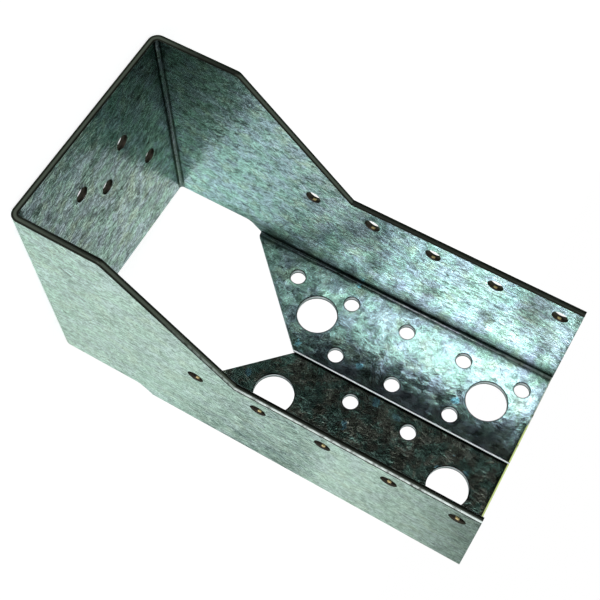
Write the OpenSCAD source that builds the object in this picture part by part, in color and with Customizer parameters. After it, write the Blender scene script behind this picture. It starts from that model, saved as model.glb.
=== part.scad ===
// Joist hanger with inward-turned flanges, folded from one sheet of galvanised steel.
// X runs across the hanger, Y forward along the joist and Z up from the underside of
// the seat; the origin lies under the middle of the whole. Lengths are in millimetres.

/* [Joist pocket] */
// Width of the pocket between the side plates
pocket_width = 64.5; // [60:0.5:100]
// Height from the underside of the seat to the free ends
hanger_height = 138.5; // [130:0.5:200]
// Depth from the back of the flanges to the front edge of the seat
seat_depth = 83.5; // [75:0.5:110]

/* [Sheet] */
// Thickness of the steel sheet
sheet = 2; // [1.5:0.5:3]
// Inside radius of the folds
bend_radius = 1; // [0.5:0.5:2.5]

/* [Side plates] */
// Depth of the narrow upper strip of each side plate
strip_depth = 46.5; // [40:0.5:60]
// Height of the full-depth foot of each side plate
foot_height = 28; // [20:1:45]
// Angle between the tapered front edge and the vertical
taper_angle = 45; // [35:1:55]
// Rounding of the corner at the top of the foot
foot_corner_radius = 2; // [0.5:0.5:6]

/* [Flanges] */
// Height at which the lower edges of the flanges meet the side plates
flange_start = 32; // [28:1:42]
// Angle between the lower edges of the flanges and the vertical
flange_angle = 45; // [40:1:60]
// Distance from the back of the flanges forward to the back edge of the seat
seat_setback = 7; // [5.5:0.5:9]
// Rounding where the back edge of the seat turns towards the flanges
relief_radius = 4; // [1:0.5:5]
// Width of the gap between the two flanges
seam_gap = 0.6; // [0.2:0.1:1.6]
// Distance from the middle of the pocket to the middle of the gap
seam_offset = 0.5; // [-1:0.1:1]

/* [Nail holes] */
// Diameter of the nail holes
nail_diameter = 5; // [4:0.5:6]
// Distance between neighbouring nail holes of a column
nail_pitch = 20; // [16:1:20]
// Least height of a column above the foot or above the slanted edge of its flange
nail_room = 10; // [9:0.5:12]
// Distance from the free ends to the first hole of the side plates
side_nail_end = 6; // [5:0.5:10]
// Distance from the front edge of the strip to its column of holes
side_nail_edge = 6; // [5:0.5:10]
// Distance from the free ends to the first hole beside the folds
fold_nail_end = 6.5; // [5:0.5:10]
// Distance from the side plates to the columns of holes beside the folds
fold_nail_inset = 8.3; // [8:0.1:8.6]
// Distance from the middle of the pocket to the columns of holes beside the gap
seam_nail_offset = 5.7; // [5:0.1:6.5]
// Distance from the free ends to the first hole beside the gap in the right flange
right_seam_nail_end = 22.5; // [22:0.5:26]
// Distance from the free ends to the first hole beside the gap in the left flange
left_seam_nail_end = 31; // [25:0.5:34]
// Distance between neighbouring columns and rows of the seat's nail holes
seat_nail_step = 10; // [8:0.5:11]
// Distance from the back of the flanges to the rear row of the seat's nail holes
seat_nail_row = 41.5; // [20:0.5:50]

/* [Bolt holes] */
// Diameter of the bolt holes in the flanges
bolt_diameter = 13; // [9:0.5:13.5]
// Distance between the bolt holes across the gap
bolt_spacing_across = 30.5; // [29:0.5:32]
// Least height of the bolt holes above the slanted edge of their flange
bolt_room = 12; // [10:0.5:14]
// Distance from the free ends to the upper bolt hole of the right flange
right_bolt_end = 14.5; // [12:0.5:20]
// Distance from the free ends to the upper bolt hole of the left flange
left_bolt_end = 13; // [12:0.5:20]

/* [Hidden] */
$fn = 96;
bend_outer = bend_radius + sheet;
outer_width = pocket_width + 2 * sheet;
flat_half = pocket_width / 2 - bend_radius;
// The relief turns back at half a right angle and ends where the folds to the flanges begin
relief_angle = 45;
relief_run = seat_setback - bend_outer;
relief_top = flange_start + bend_radius / tan(flange_angle);
relief_height = relief_top - relief_run / tan(relief_angle);
seam_left = seam_offset - seam_gap / 2;
seam_right = seam_offset + seam_gap / 2;
side_nail_y = strip_depth - side_nail_edge;
fold_nail_x = pocket_width / 2 - fold_nail_inset;
// Column and row of each hole in the seat, counted in steps
seat_nail_places = [[-2, 0], [-1, 2], [0, 1], [1, 2], [2, 0]];
// Height of the slanted lower edge of a flange, at a distance from the middle
function edge_height(x) = relief_top + (flat_half - abs(x)) / tan(flange_angle);
// Nail pitches from the first hole below the free end down to the last that keeps its room
function pitches(first, edge, room) =
    floor((hanger_height - first - edge - room) / nail_pitch);
// How far a cut runs past what it cuts
past = 1;
// The modules measure Y from the back of the flanges; the whole is moved back by this
to_middle = [0, -seat_depth / 2, 0];

// Rectangle that stands on the X axis, with its two lower corners rounded
module round_based(width, height, radius) {
    intersection() {
        translate([-width / 2, 0])
            square([width, height]);
        union() {
            translate([-width / 2, radius])
                square([width, height]);
            translate([radius - width / 2, 0])
                square([width - 2 * radius, height]);
            for (side = [-1, 1])
                translate([side * (width / 2 - radius), radius])
                    circle(r = radius);
        }
    }
}

// Section through the sheet folded to a channel: a web with a leg of this height at each end
module channel_section(height) {
    difference() {
        round_based(outer_width, height, bend_outer);
        translate([0, sheet])
            round_based(pocket_width, height, bend_radius);
    }
}

// Side view of a block whose front edge turns back by an angle at a rounded corner
module mitred_block(depth, corner_height, run, angle, radius) {
    tangent = radius * tan(angle / 2);
    top = corner_height + run / tan(angle);
    polygon([
        [-past, -past],
        [depth, -past],
        [depth, corner_height - tangent],
        [depth - tangent * sin(angle), corner_height + tangent * cos(angle)],
        [depth - run, top],
        [-past, top]
    ]);
    translate([depth - radius, corner_height - tangent])
        circle(r = radius);
}

// Extrudes a front view, drawn in X and Z, from one depth to another
module along_y(from, to) {
    translate([0, to, 0])
        rotate([90, 0, 0])
            linear_extrude(height = to - from)
                children();
}

// Extrudes a side view, drawn in Y and Z, right through both side plates
module across_x() {
    translate([-outer_width / 2 - past, 0, 0])
        rotate([90, 0, 90])
            linear_extrude(height = outer_width + 2 * past)
                children();
}

// Outline of the side plates: the full-depth foot, the taper and the narrow strip
module side_outline() {
    mitred_block(seat_depth, foot_height, seat_depth - strip_depth, taper_angle,
        foot_corner_radius);
    translate([-past, 0])
        square([strip_depth + past, hanger_height + past]);
}

// Seat and side plates, folded as a channel that the joist lies in
module seat_channel() {
    intersection() {
        along_y(bend_outer, seat_depth)
            channel_section(hanger_height);
        across_x()
            side_outline();
    }
}

// Flanges and their folds, with legs that run a little way into the side plates
module header_channel() {
    translate([0, 0, relief_height])
        linear_extrude(height = hanger_height - relief_height)
            channel_section(bend_outer + past);
}

// Space behind the seat and below the flanges, which is cut from the flat sheet
module seat_relief() {
    across_x()
        mitred_block(seat_setback, relief_height, relief_run, relief_angle, relief_radius);
}

// Space between the slanted lower edges of the flanges, up to the gap
module flange_notch() {
    along_y(-past, sheet + past)
        polygon([
            [-flat_half, relief_height],
            [-flat_half, relief_top],
            [seam_left, relief_top + (flat_half + seam_left) / tan(flange_angle)],
            [seam_right, relief_top + (flat_half - seam_right) / tan(flange_angle)],
            [flat_half, relief_top],
            [flat_half, relief_height]
        ]);
}

// Gap between the flanges, from the notch to the free ends
module seam_slot() {
    translate([seam_left, -past, relief_top])
        cube([seam_gap, sheet + 2 * past, hanger_height]);
}

// Round hole through the flanges
module flange_hole(x, z, diameter) {
    translate([x, sheet / 2, z])
        rotate([90, 0, 0])
            cylinder(h = sheet + 2 * past, d = diameter, center = true);
}

// Column of nail holes in a flange, from the free end down
module flange_nails(x, first) {
    for (i = [0 : 1 : pitches(first, edge_height(x), nail_room)])
        flange_hole(x, hanger_height - first - i * nail_pitch, nail_diameter);
}

// Nail holes of both flanges: staggered beside the gap, level beside the folds
module header_nails() {
    flange_nails(fold_nail_x, fold_nail_end);
    flange_nails(-fold_nail_x, fold_nail_end);
    flange_nails(seam_nail_offset, right_seam_nail_end);
    flange_nails(-seam_nail_offset, left_seam_nail_end);
}

// Two bolt holes in a flange, a whole number of nail pitches apart
module flange_bolts(x, first) {
    for (i = [0, pitches(first, edge_height(x), bolt_room)])
        flange_hole(x, hanger_height - first - i * nail_pitch, bolt_diameter);
}

// Bolt holes of both flanges
module header_bolts() {
    flange_bolts(bolt_spacing_across / 2, right_bolt_end);
    flange_bolts(-bolt_spacing_across / 2, left_bolt_end);
}

// Column of nail holes through both side plates, near the front edge of the strip
module joist_nails() {
    for (i = [0 : 1 : pitches(side_nail_end, foot_height, nail_room)])
        translate([0, side_nail_y, hanger_height - side_nail_end - i * nail_pitch])
            rotate([0, 90, 0])
                cylinder(h = outer_width + 2 * past, d = nail_diameter, center = true);
}

// Nail holes up through the seat into the joist
module seat_nails() {
    for (place = seat_nail_places)
        translate([place[0] * seat_nail_step, seat_nail_row + place[1] * seat_nail_step, -past])
            cylinder(h = sheet + 2 * past, d = nail_diameter);
}

// The whole hanger: one sheet, cut, punched and folded
module joist_hanger() {
    color([0.60, 0.66, 0.65])
        translate(to_middle)
            difference() {
                union() {
                    seat_channel();
                    header_channel();
                }
                seat_relief();
                flange_notch();
                seam_slot();
                header_nails();
                header_bolts();
                joist_nails();
                seat_nails();
            }
}

joist_hanger();
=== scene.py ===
import math
import bpy
from mathutils import Euler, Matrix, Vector


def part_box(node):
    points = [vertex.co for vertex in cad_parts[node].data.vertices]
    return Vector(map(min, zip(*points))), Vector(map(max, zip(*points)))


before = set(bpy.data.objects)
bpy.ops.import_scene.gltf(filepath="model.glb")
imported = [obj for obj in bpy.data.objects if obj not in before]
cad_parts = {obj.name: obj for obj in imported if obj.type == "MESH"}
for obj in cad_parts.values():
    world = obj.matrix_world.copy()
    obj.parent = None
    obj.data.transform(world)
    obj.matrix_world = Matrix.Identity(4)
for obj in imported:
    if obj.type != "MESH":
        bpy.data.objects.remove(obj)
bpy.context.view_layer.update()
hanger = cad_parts["joist_hanger"]
boxLow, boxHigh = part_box("joist_hanger")
print("frame loaded")


class Graph:
    # wraps a node tree, so that a formula reads as one line
    def __init__(self, tree):
        self.tree = tree
        tree.nodes.clear()

    def node(self, kind, inputs=None, **settings):
        made = self.tree.nodes.new(kind)
        for name, value in settings.items():
            setattr(made, name, value)
        for name, value in (inputs or {}).items():
            self.feed(made.inputs[name], value)
        return made

    def feed(self, socket, value):
        if isinstance(value, bpy.types.NodeSocket):
            self.tree.links.new(value, socket)
        else:
            socket.default_value = value

    def math(self, operation, *values):
        made = self.node("ShaderNodeMath", operation=operation)
        for socket, value in zip(made.inputs, values):
            self.feed(socket, value)
        return made.outputs[0]

    def vector(self, operation, *values):
        made = self.node("ShaderNodeVectorMath", operation=operation)
        for socket, value in zip(made.inputs, values):
            self.feed(socket, value)
        return made.outputs[0]

    def distance(self, first, second):
        made = self.node("ShaderNodeVectorMath", {0: first, 1: second}, operation="DISTANCE")
        return made.outputs["Value"]

    def total(self, first, *others):
        for other in others:
            first = self.math("ADD", first, other)
        return first

    def product(self, first, *others):
        for other in others:
            first = self.math("MULTIPLY", first, other)
        return first

    def rest(self, value):
        # what value leaves of 1
        return self.math("SUBTRACT", 1.0, value)

    def step(self, value, low, high, start=0.0, end=1.0):
        # goes smoothly from start to end while value goes from low to high
        inputs = {"Value": value, "From Min": low, "From Max": high, "To Min": start, "To Max": end}
        return self.node("ShaderNodeMapRange", inputs, interpolation_type="SMOOTHSTEP").outputs["Result"]

    def band(self, value, middle, half, soft):
        # 1 within half of the middle, then down to 0 over the distance soft
        away = self.math("ABSOLUTE", self.math("SUBTRACT", value, middle))
        return self.step(away, half, half + soft, 1.0, 0.0)

    def mix(self, factor, first, second, blend="MIX"):
        made = self.node("ShaderNodeMix", data_type="RGBA", blend_type=blend)
        for index, value in ((0, factor), (6, first), (7, second)):
            self.feed(made.inputs[index], value)
        return made.outputs[2]

    def shade(self, colour, tone):
        # the colour, made darker or brighter by a value
        grey = self.node("ShaderNodeCombineColor", {"Red": tone, "Green": tone, "Blue": tone}).outputs[0]
        return self.mix(1.0, colour, grey, "MULTIPLY")

    def noise(self, place, size, detail, roughness):
        # cloudy noise about 0, in lumps about this many millimetres across
        inputs = {"Vector": place, "Scale": 1 / size, "Detail": detail, "Roughness": roughness}
        return self.math("SUBTRACT", self.node("ShaderNodeTexNoise", inputs).outputs["Fac"], 0.5)

    def crystals(self, place, size):
        # cells about this many millimetres across: three random values about 0 for each cell, then the
        # distance from its middle
        cell = self.node("ShaderNodeTexVoronoi", {"Vector": place, "Scale": 1 / size})
        parts = self.node("ShaderNodeSeparateColor", {"Color": cell.outputs["Color"]})
        return [self.math("SUBTRACT", part, 0.5) for part in parts.outputs] + [cell.outputs["Distance"]]


def newMaterial(name):
    made = bpy.data.materials.new(name)
    made.use_nodes = True
    return made, Graph(made.node_tree)


# folded sheet, in millimetres; the overall sizes come from the frame
sheet = {
    "half": boxHigh[0] * 1000, "back": boxLow[1] * 1000, "top": boxHigh[2] * 1000,
    "thick": 2.0, "fold": 3.0,
}
sheet["front"] = sheet["back"] + sheet["thick"]  # front faces of the flanges

# zinc skin; colours are linear and lengths in millimetres. stretch: how much longer strokes are along
# the rolling; spangle: size of the crystals; wander, ripple and loose: how finely and how far patterns
# wander; calm: how much of the strokes is left on the flanges; rough: how much more of them the other
# inner faces have; vary: how much roughness changes from crystal to crystal; tilt: how far crystals lean
zinc = {
    "colour": (0.448, 0.552, 0.548, 1), "rim": (0.74, 0.88, 0.76, 1),
    "green": (0.91, 1.06, 0.95, 1), "violet": (1.00, 0.98, 1.09, 1), "blue": (0.80, 1.36, 1.58, 1),
    "olive": (1.04, 1.05, 0.90, 1), "rust": (1.12, 1.00, 0.80, 1), "moss": (0.80, 1.18, 0.98, 1),
    "plain": (1.00, 0.99, 0.95, 1),
    "stretch": 1.8, "spangle": 2.6, "wander": 0.55, "ripple": 2.2, "loose": 3.0,
    "calm": 0.62, "rough": 0.20, "darkest": 0.12,
    "roughness": 0.215, "vary": 0.06, "smoothest": 0.08, "tilt": 0.045,
}

# patterns: size of the lumps in millimetres, then detail and roughness of the noise
pattern = {
    "strokes": (0.95, 2.5, 0.55), "grain": (0.32, 2.0, 0.6), "patch": (4.5, 3.0, 0.6),
    "cloud": (24.0, 4.0, 0.55), "flakes": (2.0, 2.0, 0.5), "mottle": (3.2, 3.5, 0.65),
    "threads": (2.4, 1.0, 0.5), "hue": (5.0, 2.5, 0.55), "olive": (6.5, 3.0, 0.6),
    "blotch": (3.6, 3.0, 0.6), "crease": (4.0, 3.0, 0.6), "broken": (2.0, 2.0, 0.6),
    "waves": (5.0, 2.0, 0.5),
}

# how strongly each pattern changes the brightness
strength = {
    "strokes": 0.56, "grain": 0.95, "patch": 0.7, "cloud": 0.5, "spangle": 0.16, "flakes": -0.34,
    "mottle": 2.4, "threads": -0.5,
}

# how high each pattern stands, in millimetres
height = {"strokes": 0.085, "grain": 0.012, "waves": 0.16}

# bare edges of the sheet. crown: how high their middle stands above their sides, in millimetres;
# roll: how far the zinc over the flanges' edges leans forward
edge = {
    "steel": (0.075, 0.092, 0.072, 1), "burr": (0.015, 0.018, 0.013, 1), "coated": (0.82, 0.93, 0.90, 1),
    # the pale colour for a line on the left side plate's edges is a painted highlight
    "edgeHighlight": (0.46, 0.56, 0.51, 1), "boreWall": (0.42, 0.52, 0.50, 1),
    # the golden colour in the nail holes is a painted glint
    "holeWall": (0.040, 0.036, 0.028, 1), "glintColour": (0.95, 0.85, 0.40, 1),
    "roughness": 0.5, "crown": 0.30, "roll": 1.7,
}

# painted shade along the folds: shade, fold, sideFold and beside are what is left of the brightness on the
# lines, in the seat's folds, in the other folds and on the sides beside the flanges
crease = {
    "shade": 0.30, "middle": -0.15, "half": 0.25, "soft": 0.35, "fold": 0.42, "sideFold": 0.24,
    "wander": 1.6, "beside": 0.36,
}

# gap between the flanges, and the painted shadow line beside it
gap = {"middle": 0.5, "half": 0.3, "line": 0.75, "dark": 0.97}

# burrs along the free ends of the flanges; their colour changes at x = turn, and nick is an x and a z
burr = {
    "line": (0.60, 0.70, 0.28, 1), "pale": (0.50, 0.58, 0.48, 1), "stain": (0.07, 0.09, 0.035, 1),
    "width": 0.42, "spread": 2.2, "turn": 14.5, "nick": (17.9, 138.5), "lean": 0.8,
}

# painted shade at the front corner of the seat, beside the right side plate: middle, reach and what is left
# of the brightness
cornerShade = {"at": (26, 46, 2), "reach": 52.0, "left": 0.45}

# scuffs on the left side plate: middle (y, z), length, width and slope
scuffs = [
    {"at": (25.5, 14.4), "long": 4.2, "wide": 0.8, "angle": -50},
    {"at": (-6.6, 7.4), "long": 1.0, "wide": 0.5, "angle": 0},
    {"at": (-2.4, 32.0), "long": 2.6, "wide": 0.4, "angle": 80},
]

# columns of holes: where the column stands, its highest hole, pitch, number of holes and radius
sideNails = {"at": -1.25, "top": 132.5, "pitch": 20.0, "count": 5, "radius": 2.5}
flangeHoles = [
    {"at": -23.95, "top": 132.0, "pitch": 20.0, "count": 5, "radius": 2.5},
    {"at": 23.95, "top": 132.0, "pitch": 20.0, "count": 5, "radius": 2.5},
    {"at": 5.7, "top": 116.0, "pitch": 20.0, "count": 3, "radius": 2.5},
    {"at": -5.7, "top": 107.5, "pitch": 20.0, "count": 2, "radius": 2.5},
    {"at": 15.25, "top": 124.0, "pitch": 60.0, "count": 2, "radius": 6.5},
    {"at": -15.25, "top": 125.5, "pitch": 60.0, "count": 2, "radius": 6.5},
]

# dark rims round the flanges' holes, where shade is what is left of the brightness
rim = {"width": 0.16, "soft": 0.20, "shade": 0.05}


def foldPlace(g, x, y, z):
    # across: past the start of the folds beside the seat or the flanges; down: past the start of the
    # fold below or behind; depth: through the sheet from its middle, -1 on the inner faces, 1 on the outer
    across = g.math("SUBTRACT", g.math("ABSOLUTE", x), sheet["half"] - sheet["fold"])
    down = g.math("MAXIMUM", g.math("SUBTRACT", sheet["fold"], z),
                  g.math("SUBTRACT", sheet["back"] + sheet["fold"], y))
    outside = [g.math("POWER", g.math("MAXIMUM", part, 0.0), 2.0) for part in (across, down)]
    inside = g.math("MINIMUM", g.math("MAXIMUM", across, down), 0.0)
    reach = g.math("ADD", g.math("SQRT", g.total(*outside)), inside)
    middle = sheet["fold"] - sheet["thick"] / 2
    return across, down, g.math("DIVIDE", g.math("SUBTRACT", reach, middle), sheet["thick"] / 2)


def nearestHole(g, along, z, column):
    # position relative to the middle of the nearest hole of the column, and distance from its rim
    index = g.math("ROUND", g.math("DIVIDE", g.math("SUBTRACT", column["top"], z), column["pitch"]))
    index = g.math("MINIMUM", g.math("MAXIMUM", index, 0.0), column["count"] - 1.0)
    aside = g.math("SUBTRACT", along, column["at"])
    upDown = g.total(z, g.product(index, column["pitch"]), -column["top"])
    reach = g.math("SQRT", g.total(g.math("POWER", aside, 2.0), g.math("POWER", upDown, 2.0)))
    return aside, upDown, g.math("SUBTRACT", reach, column["radius"])


def rolledPlace(g, x, y, z):
    # squeezes the direction in which the sheet was rolled: up the sides, and across the seat
    onSeat = g.step(z, sheet["thick"] + 0.2, sheet["thick"] + 0.8, 1.0, 0.0)
    squeeze = 1 - 1 / zinc["stretch"]
    alongX = g.math("MULTIPLY", x, g.math("SUBTRACT", 1.0, g.math("MULTIPLY", onSeat, squeeze)))
    alongZ = g.math("MULTIPLY", z, g.math("ADD", 1 / zinc["stretch"], g.math("MULTIPLY", onSeat, squeeze)))
    return g.node("ShaderNodeCombineXYZ", {"X": alongX, "Y": y, "Z": alongZ}).outputs[0]


class Spot:
    # where a point lies on the sheet, in millimetres, and what colour and relief both need to know of it
    def __init__(self, g):
        self.place = g.vector("MULTIPLY", g.node("ShaderNodeTexCoord").outputs["Object"], (1000, 1000, 1000))
        self.x, self.y, self.z = g.node("ShaderNodeSeparateXYZ", {"Vector": self.place}).outputs
        self.side = g.math("ABSOLUTE", self.x)
        self.fromEnd = g.math("SUBTRACT", sheet["top"], self.z)
        self.across, self.down, self.depth = foldPlace(g, self.x, self.y, self.z)
        self.away = g.math("ABSOLUTE", self.depth)
        self.cut = g.step(self.away, 0.965, 0.99, 1.0, 0.0)  # 1 on cut edges, 0 on both faces
        self.flat = g.rest(self.cut)
        self.flange = g.step(self.y, sheet["front"] + 0.35, sheet["front"] + 0.75, 1.0, 0.0)
        self.addWear(g)
        self.addPatterns(g)

    def addWear(self, g):
        # worn: the left flange, mostly its front; calm: what is left of strokes and grain, which is
        # less where the flanges aren't worn, and more on the inner faces of seat and sides
        self.worn = g.product(self.flange, g.step(self.x, 0.2, 1.0, 1.0, 0.0), g.step(self.x, -32.0, -30.0),
                              g.step(self.depth, -0.6, 0.2, 1.0, 0.2))
        smoother = g.product(g.math("SUBTRACT", self.flange, self.worn), 1 - zinc["calm"])
        rougher = g.product(g.step(self.depth, -0.3, 0.3, zinc["rough"], 0.0), g.rest(self.flange))
        self.calm = g.math("ADD", g.rest(smoother), rougher)

    def addPatterns(self, g):
        # strokes and grain follow the rolling, and crystals lie on places that wander a little
        clouds = g.node("ShaderNodeTexNoise", {"Vector": self.place, "Scale": zinc["wander"], "Detail": 2.0})
        wander = clouds.outputs["Color"]
        rolled = rolledPlace(g, self.x, self.y, self.z)
        self.ripple = g.vector("MULTIPLY_ADD", wander, (zinc["ripple"],) * 3, rolled)
        self.loose = g.vector("MULTIPLY_ADD", wander, (zinc["loose"],) * 3, self.place)
        self.strokes = g.noise(self.ripple, *pattern["strokes"])
        self.grain = g.noise(rolled, *pattern["grain"])
        self.broken = g.noise(self.place, *pattern["broken"])
        self.spangle = g.crystals(self.loose, zinc["spangle"])


def skinTone(g, spot):
    # brightness about 1: layers of pattern, and painted shade towards the front corner of the seat
    patch = g.noise(spot.place, *pattern["patch"])
    thread = g.band(g.noise(spot.ripple, *pattern["threads"]), 0.0, 0.006, 0.012)
    flake = g.step(g.noise(spot.ripple, *pattern["flakes"]), -0.14, 0.02, 1.0, 0.0)
    layers = {
        "strokes": g.product(g.step(spot.strokes, -0.13, 0.13, -0.5, 0.5), spot.calm),
        "grain": g.product(spot.grain, spot.calm),
        "patch": patch,
        "cloud": g.noise(spot.place, *pattern["cloud"]),
        "spangle": spot.spangle[0],
        "flakes": g.product(flake, g.rest(spot.worn), g.step(spot.depth, -0.3, 0.3, 1.0, 0.35)),
        "mottle": g.product(g.noise(spot.loose, *pattern["mottle"]), spot.worn),
        "threads": g.product(thread, g.step(patch, -0.02, 0.08)),
    }
    tone = g.total(1.0, *(g.product(layer, strength[name]) for name, layer in layers.items()))
    tone = g.math("MAXIMUM", tone, zinc["darkest"])
    fromCorner = g.distance(spot.place, cornerShade["at"])
    return g.product(tone, g.step(fromCorner, 0.0, cornerShade["reach"], cornerShade["left"], 1.0))


def skinTint(g, spot):
    # green, violet and olive clouds, plainer outside; rust and moss where worn; a few blue crystals
    tint = g.mix(g.step(g.noise(spot.loose, *pattern["hue"]), -0.12, 0.12), zinc["green"], zinc["violet"])
    tint = g.mix(g.step(g.noise(spot.place, *pattern["olive"]), 0.0, 0.20), tint, zinc["olive"])
    tint = g.mix(g.step(spot.depth, -0.3, 0.3, 0.0, 0.55), tint, zinc["plain"])
    blotch = g.step(g.noise(spot.loose, *pattern["blotch"]), -0.08, 0.08)
    tint = g.mix(g.product(spot.worn, 0.85), tint, g.mix(blotch, zinc["rust"], zinc["moss"]))
    blue = g.product(spot.flange, g.step(spot.spangle[2], 0.478, 0.486),
                     g.step(spot.spangle[3], 0.40, 0.65, 1.0, 0.0))
    return g.mix(blue, tint, zinc["blue"])


def foldShading(g, spot):
    # painted shade: the folds are darker inside, with a dark line along each side
    inside = g.step(spot.depth, -0.6, -0.3, 1.0, 0.0)
    inFold = g.product(inside, g.step(spot.across, 0.0, 0.2), g.step(spot.down, 0.0, 0.2))
    foldShade = g.step(spot.z, 6.0, 12.0, 1 - crease["fold"], 1 - crease["sideFold"])
    wavy = g.product(g.noise(spot.place, *pattern["crease"]), crease["wander"], g.step(spot.z, 6.0, 12.0))
    wavy = g.math("ADD", spot.across, wavy)
    line = (crease["middle"], crease["half"], crease["soft"])
    lineAcross = g.product(g.band(wavy, *line), g.step(spot.down, -0.4, 0.0))
    lineDown = g.product(g.band(spot.down, *line), g.step(spot.across, -0.4, 0.0))
    lines = g.product(inside, g.math("MAXIMUM", lineAcross, lineDown))
    # painted shade: the insides of the side plates are darker beside the flanges too
    front = sheet["front"]
    beside = g.product(inside, g.step(spot.z, 6.0, 30.0),
                       g.step(spot.y, front + 4.25, front + 12.25, 1 - crease["beside"], 0.0),
                       g.step(spot.y, front + 0.75, front + 1.25))
    return g.product(inFold, foldShade), g.product(lines, 1 - crease["shade"]), beside


def scuffMark(g, spot, scuff):
    # short mark with ragged sides on the outside of the left side plate
    slope = math.radians(scuff["angle"])
    cos, sin = math.cos(slope), math.sin(slope)
    fromY, fromZ = (g.math("SUBTRACT", part, middle) for part, middle in zip((spot.y, spot.z), scuff["at"]))
    ragged = g.product(g.math("ADD", spot.strokes, spot.grain), 1.5)
    along = g.total(g.product(fromY, cos), g.product(fromZ, sin), ragged)
    aside = g.total(g.product(fromZ, cos), g.product(fromY, -sin), ragged)
    return g.product(g.band(along, 0.0, scuff["long"] / 2, 0.6), g.band(aside, 0.0, scuff["wide"] / 2, 0.4),
                     g.step(spot.x, 0.25 - sheet["half"], 0.45 - sheet["half"], 0.6, 0.0))


def rimMark(g, spot, column):
    # rims of one column of holes of the flanges
    fromRim = nearestHole(g, spot.x, spot.z, column)[2]
    return g.product(spot.flange, g.band(fromRim, 0.0, rim["width"], rim["soft"]), 1 - rim["shade"])


def gapShadow(g, spot):
    # painted shadow of the gap: a dark line beside it, on the left flange
    onLine = g.band(spot.x, gap["middle"] - gap["half"] - gap["line"] / 2, gap["line"] / 2, 0.1)
    return g.product(spot.flange, onLine, gap["dark"])


def freeEnds(g, spot, skin):
    # free ends of the flanges: a bright burr, a dark stain beside it and a dark nick
    rightward = g.step(spot.x, burr["turn"] - 1, burr["turn"] + 1)
    stain = g.step(g.total(spot.fromEnd, g.product(spot.broken, 3.0)), 0.5, burr["spread"], 0.85, 0.0)
    stain = g.product(spot.flange, stain, g.rest(g.product(rightward, 0.8)))
    onPlane = g.node("ShaderNodeCombineXYZ", {"X": spot.x, "Z": spot.z}).outputs[0]
    toNick = g.distance(onPlane, (burr["nick"][0], 0, burr["nick"][1]))
    nick = g.product(spot.flange, g.step(toNick, 0.4, 0.9, 1.0, 0.0))
    skin = g.mix(g.math("MAXIMUM", stain, nick), skin, burr["stain"])
    reach = g.math("MULTIPLY", burr["width"], g.rest(g.product(rightward, 0.5)))
    bright = g.product(spot.flange, g.step(g.math("SUBTRACT", spot.fromEnd, reach), -0.1, 0.1, 1.0, 0.0),
                       g.step(spot.broken, -0.16, -0.10), g.rest(nick))
    return g.mix(bright, skin, g.mix(rightward, burr["line"], burr["pale"])), bright


def cutEdges(g, spot):
    # steel in the middle of the edge, dark burrs beside both faces
    bare = g.mix(g.step(spot.away, 0.22, 0.55), edge["steel"], edge["burr"])
    # a painted highlight: a pale line along the upper edges of the left side plate
    edgeHighlight = g.product(g.step(spot.x, -31.0, -30.5, 1.0, 0.0), g.step(spot.y, -29.0, -28.0),
                       g.step(spot.z, 40.0, 75.0), g.band(spot.depth, 0.45, 0.15, 0.3),
                       g.step(spot.broken, -0.20, 0.10, 0.2, 1.0))
    bare = g.mix(edgeHighlight, bare, edge["edgeHighlight"])
    # bright zinc over the edges of the flanges
    onFlange = g.product(g.step(spot.y, sheet["front"], sheet["front"] + 0.15, 1.0, 0.0),
                         g.step(spot.side, 29.0, 30.0, 1.0, 0.0))
    rolledOver = g.product(onFlange, g.band(spot.depth, -0.15, 0.5, 0.1))
    bare = g.mix(rolledOver, bare, edge["coated"])
    # brown walls of the nail holes in the side plates, with a painted golden glint
    fromRow, upDown, fromRim = nearestHole(g, spot.y, spot.z, sideNails)
    onWall = g.product(g.step(fromRim, 0.2, 0.4, 1.0, 0.0), g.step(spot.side, 31.0, 32.0))
    glint = g.product(g.band(upDown, 0.0, 0.25, 0.5), g.step(fromRow, -2.3, -1.9, 1.0, 0.0),
                      g.band(spot.depth, 0.0, 0.15, 0.3))
    bare = g.mix(onWall, bare, g.mix(glint, edge["holeWall"], edge["glintColour"]))
    # brown walls of the holes in the seat, paler ones in the flanges
    inSeat = g.product(g.step(spot.z, 2.2, 2.6, 1.0, 0.0), g.step(spot.side, 26.0, 27.0, 1.0, 0.0),
                       g.band(spot.y, 10.0, 16.0, 0.5))
    bare = g.mix(inSeat, bare, edge["holeWall"])
    inFlange = g.product(spot.flange, g.step(spot.side, 2.0, 2.5), g.step(spot.side, 27.0, 28.0, 1.0, 0.0),
                         g.step(spot.z, 48.0, 49.0), g.step(spot.fromEnd, 2.0, 2.5))
    bare = g.mix(g.product(inFlange, g.step(spot.away, 0.4, 0.7, 1.0, 0.0)), bare, edge["boreWall"])
    return bare, rolledOver


def relief(g, spot, bright, rolledOver):
    # crystals and burrs lean; strokes, grain and waves have heights in millimetres; cut edges are crowned
    random = g.node("ShaderNodeCombineXYZ", dict(zip("XYZ", spot.spangle))).outputs[0]
    upright = g.node("ShaderNodeNewGeometry").outputs["Normal"]
    lean = g.vector("MULTIPLY_ADD", random, (zinc["tilt"],) * 3, upright)
    roll = g.node("ShaderNodeCombineXYZ", {"Y": g.product(rolledOver, spot.cut, edge["roll"]),
                                           "Z": g.product(bright, spot.flat, burr["lean"])}).outputs[0]
    lean = g.vector("ADD", lean, roll)
    rise = g.total(g.product(spot.strokes, spot.flat, spot.calm, height["strokes"]),
                   g.product(spot.grain, spot.flat, spot.calm, height["grain"]),
                   g.product(g.noise(spot.place, *pattern["waves"]), spot.flat, height["waves"]),
                   g.product(g.math("POWER", spot.depth, 2.0), spot.cut, -edge["crown"]))
    bump = g.node("ShaderNodeBump", {"Height": g.product(rise, 0.001), "Normal": g.vector("NORMALIZE", lean)})
    bump.inputs["Strength"].default_value = 1.0
    bump.inputs["Distance"].default_value = 1.0
    return bump.outputs["Normal"]


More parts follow.
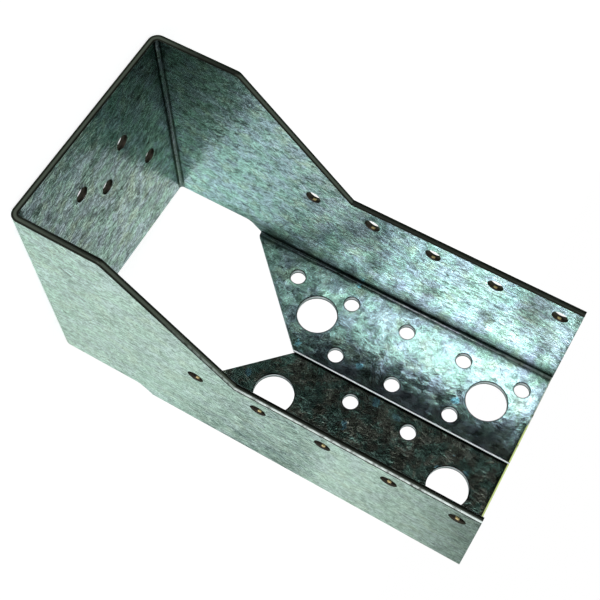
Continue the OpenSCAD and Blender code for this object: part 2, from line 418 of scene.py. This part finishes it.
def zincMaterial():
    made, g = newMaterial("galvanisedSteel")
    spot = Spot(g)
    skin = g.shade(g.mix(1.0, zinc["colour"], skinTint(g, spot), "MULTIPLY"), skinTone(g, spot))
    # painted shade of the folds and of the gap between the flanges, with scuffs and dark rims round the holes
    marksAndShade = [*foldShading(g, spot), *(scuffMark(g, spot, scuff) for scuff in scuffs),
             *(rimMark(g, spot, column) for column in flangeHoles), gapShadow(g, spot)]
    skin = g.shade(skin, g.product(*(g.rest(mark) for mark in marksAndShade)))
    skin, bright = freeEnds(g, spot, skin)
    bare, rolledOver = cutEdges(g, spot)
    skinRough = g.total(zinc["roughness"], g.product(spot.spangle[2], zinc["vary"]))
    skinRough = g.math("MAXIMUM", skinRough, zinc["smoothest"])
    rough = g.math("ADD", g.product(skinRough, spot.flat), g.product(spot.cut, edge["roughness"]))
    colour, normal = g.mix(spot.cut, skin, bare), relief(g, spot, bright, rolledOver)
    shader = g.node("ShaderNodeBsdfPrincipled", {"Base Color": colour, "Roughness": rough, "Normal": normal})
    shader.inputs["Metallic"].default_value = 1.0
    shader.inputs["Specular Tint"].default_value = zinc["rim"]
    g.node("ShaderNodeOutputMaterial", {"Surface": shader.outputs["BSDF"]})
    return made


# arrises in metres: how near points are to be joined, width and steps of the rounding, and the angle
# in degrees past which two faces meet in an arris
arrises = {"join": 0.00001, "width": 0.00022, "steps": 2, "angle": 35}

hanger.material_slots[0].material = zincMaterial()
weld = hanger.modifiers.new("weld", "WELD")
weld.merge_threshold = arrises["join"]
arris = hanger.modifiers.new("arris", "BEVEL")
arris.width, arris.segments = arrises["width"], arrises["steps"]
arris.limit_method, arris.angle_limit = "ANGLE", math.radians(arrises["angle"])
print("hanger dressed")


# lengths in metres; a card stands upright between its two ends, and fades from white at its foot
studio = {
    "floor": 3.0, "floorColour": (0.80, 0.81, 0.81, 1), "floorGlow": 0.66, "ambient": 0.5,
    "lamp": {"place": (-0.225, 0.55, 0.072), "aim": (0, 0, 0.09), "size": (0.19, 0.18), "power": 0.90,
             "colour": (1.0, 0.84, 0.96)},
    "cards": {
        "frontCard": {"ends": ((0.02, 0.42), (0.45, 0.16)), "low": 0.0, "high": 0.30, "fade": (), "slope": 0,
                      "shade": (0.010, 0.012, 0.011, 1)},
        "backCard": {"ends": ((-0.60, -0.30), (0.45, -0.30)), "low": 0.05, "high": 0.50,
                     "fade": (0.076, 0.206), "slope": 0.10, "shade": (0.015, 0.022, 0.022, 1)},
    },
    "flatCards": {
        # the sheet just behind the seat and the one further back are painted shadow: the hanger's shadow on
        # the floor, which only reflections see
        "seatShadowSheet": {"left": (-0.030, -0.052), "right": 0.035, "ends": (-0.036, -0.125),
                      "fade": (-0.010, -0.078), "slope": 1.4, "lift": (0.002, 0.002),
                      "near": (0.09, 0.12, 0.12, 1), "far": (0.74, 0.89, 0.90, 1)},
        "frontCloth": {"left": (-0.03, -0.03), "right": 0.45, "ends": (0.42, 0.06),
                       "fade": (), "slope": 0.0, "lift": (0.001, 0.001),
                       "near": (0.010, 0.012, 0.011, 1), "far": (0.010, 0.012, 0.011, 1)},
        "floorShadowSheet": {"left": (-0.024, -0.172), "right": 0.12, "ends": (-0.045, -0.45),
                      "fade": (-0.09, -0.17), "slope": 0.0, "lift": (0.003, 0.063),
                      "near": (0.68, 0.84, 0.85, 1), "far": (0.11, 0.16, 0.17, 1)},
    },
}


def whiteTo(g, strength):
    # emission that the camera, reflections and clear things see
    path = g.node("ShaderNodeLightPath")
    seen = g.math("MAXIMUM", g.math("MAXIMUM", path.outputs["Is Camera Ray"], path.outputs["Is Glossy Ray"]),
                  path.outputs["Is Transmission Ray"])
    return g.product(seen, strength)


def stageMesh(name, corners, material):
    mesh = bpy.data.meshes.new(name)
    mesh.from_pydata(corners, [], [(0, 1, 2, 3)])
    mesh.materials.append(material)
    made = bpy.data.objects.new(name, mesh)
    bpy.context.scene.collection.objects.link(made)
    return made


def makeFloor():
    paint, g = newMaterial("floorPaint")
    matt = g.node("ShaderNodeBsdfDiffuse", {"Color": studio["floorColour"]})
    glow = g.node("ShaderNodeEmission", {"Strength": whiteTo(g, studio["floorGlow"])})
    both = g.node("ShaderNodeAddShader", {0: matt.outputs[0], 1: glow.outputs[0]})
    g.node("ShaderNodeOutputMaterial", {"Surface": both.outputs[0]})
    half = studio["floor"]
    stageMesh("floor", [(-half, -half, 0), (half, -half, 0), (half, half, 0), (-half, half, 0)], paint)


def makeCard(name, corners, axis, fade, slope, near, far):
    # card that only reflections see; its colour goes from near to far along one axis, or slanting with x
    paint, g = newMaterial(name + "Paint")
    colour = far
    if fade:
        place = g.node("ShaderNodeTexCoord").outputs["Object"]
        parts = g.node("ShaderNodeSeparateXYZ", {"Vector": place}).outputs
        along = g.math("SUBTRACT", parts[axis], g.product(parts[0], slope))
        colour = g.mix(g.step(along, *fade), near, far)
    glow = g.node("ShaderNodeEmission", {"Color": colour})
    g.node("ShaderNodeOutputMaterial", {"Surface": glow.outputs[0]})
    made = stageMesh(name, corners, paint)
    made.visible_camera = made.visible_diffuse = made.visible_shadow = False


def standCard(name, card):
    (x0, y0), (x1, y1) = card["ends"]
    low, high = card["low"], card["high"]
    corners = [(x0, y0, low), (x1, y1, low), (x1, y1, high), (x0, y0, high)]
    makeCard(name, corners, 2, card["fade"], card["slope"], (1, 1, 1, 1), card["shade"])


def layFlatCard(name, flatCard):
    # lies a little above the floor, or rises from its near end to its far end
    (leftNear, leftFar), right = flatCard["left"], flatCard["right"]
    (near, far), (low, high) = flatCard["ends"], flatCard["lift"]
    corners = [(leftNear, near, low), (leftFar, far, high), (right, far, high), (right, near, low)]
    makeCard(name, corners, 1, flatCard["fade"], flatCard["slope"], flatCard["near"], flatCard["far"])


def makeWorld():
    world = bpy.data.worlds.new("studio")
    bpy.context.scene.world = world
    world.use_nodes = True
    g = Graph(world.node_tree)
    strength = g.math("ADD", whiteTo(g, 1 - studio["ambient"]), studio["ambient"])
    back = g.node("ShaderNodeBackground", {"Color": (1, 1, 1, 1), "Strength": strength})
    g.node("ShaderNodeOutputWorld", {"Surface": back.outputs[0]})


def makeLamp(name, lamp):
    data = bpy.data.lights.new(name, "AREA")
    data.shape, data.energy, data.color = "RECTANGLE", lamp["power"], lamp["colour"]
    data.size, data.size_y = lamp["size"]
    made = bpy.data.objects.new(name, data)
    made.location = lamp["place"]
    towards = Vector(lamp["aim"]) - Vector(lamp["place"])
    made.rotation_euler = towards.to_track_quat("-Z", "Y").to_euler()
    bpy.context.scene.collection.objects.link(made)


makeFloor()
makeWorld()
makeLamp("softbox", studio["lamp"])
for name, card in studio["cards"].items():
    standCard(name, card)
for name, flatCard in studio["flatCards"].items():
    layFlatCard(name, flatCard)
print("studio ready")

view = {"place": (-0.12203, 0.28670, 0.13510), "turn": (-61.5254, -60.1479, -0.7337),
        "sensor": 36, "lens": 67.258, "shift": (0.016667, -0.058333), "nearest": 0.005}
camera = bpy.data.objects.new("camera", bpy.data.cameras.new("camera"))
camera.location = view["place"]
camera.rotation_euler = Euler([math.radians(angle) for angle in view["turn"]])
camera.data.sensor_width, camera.data.lens = view["sensor"], view["lens"]
camera.data.shift_x, camera.data.shift_y = view["shift"]
camera.data.clip_start = view["nearest"]
bpy.context.scene.collection.objects.link(camera)
bpy.context.scene.camera = camera
bpy.context.scene.view_settings.view_transform = "Standard"

print("camera set")
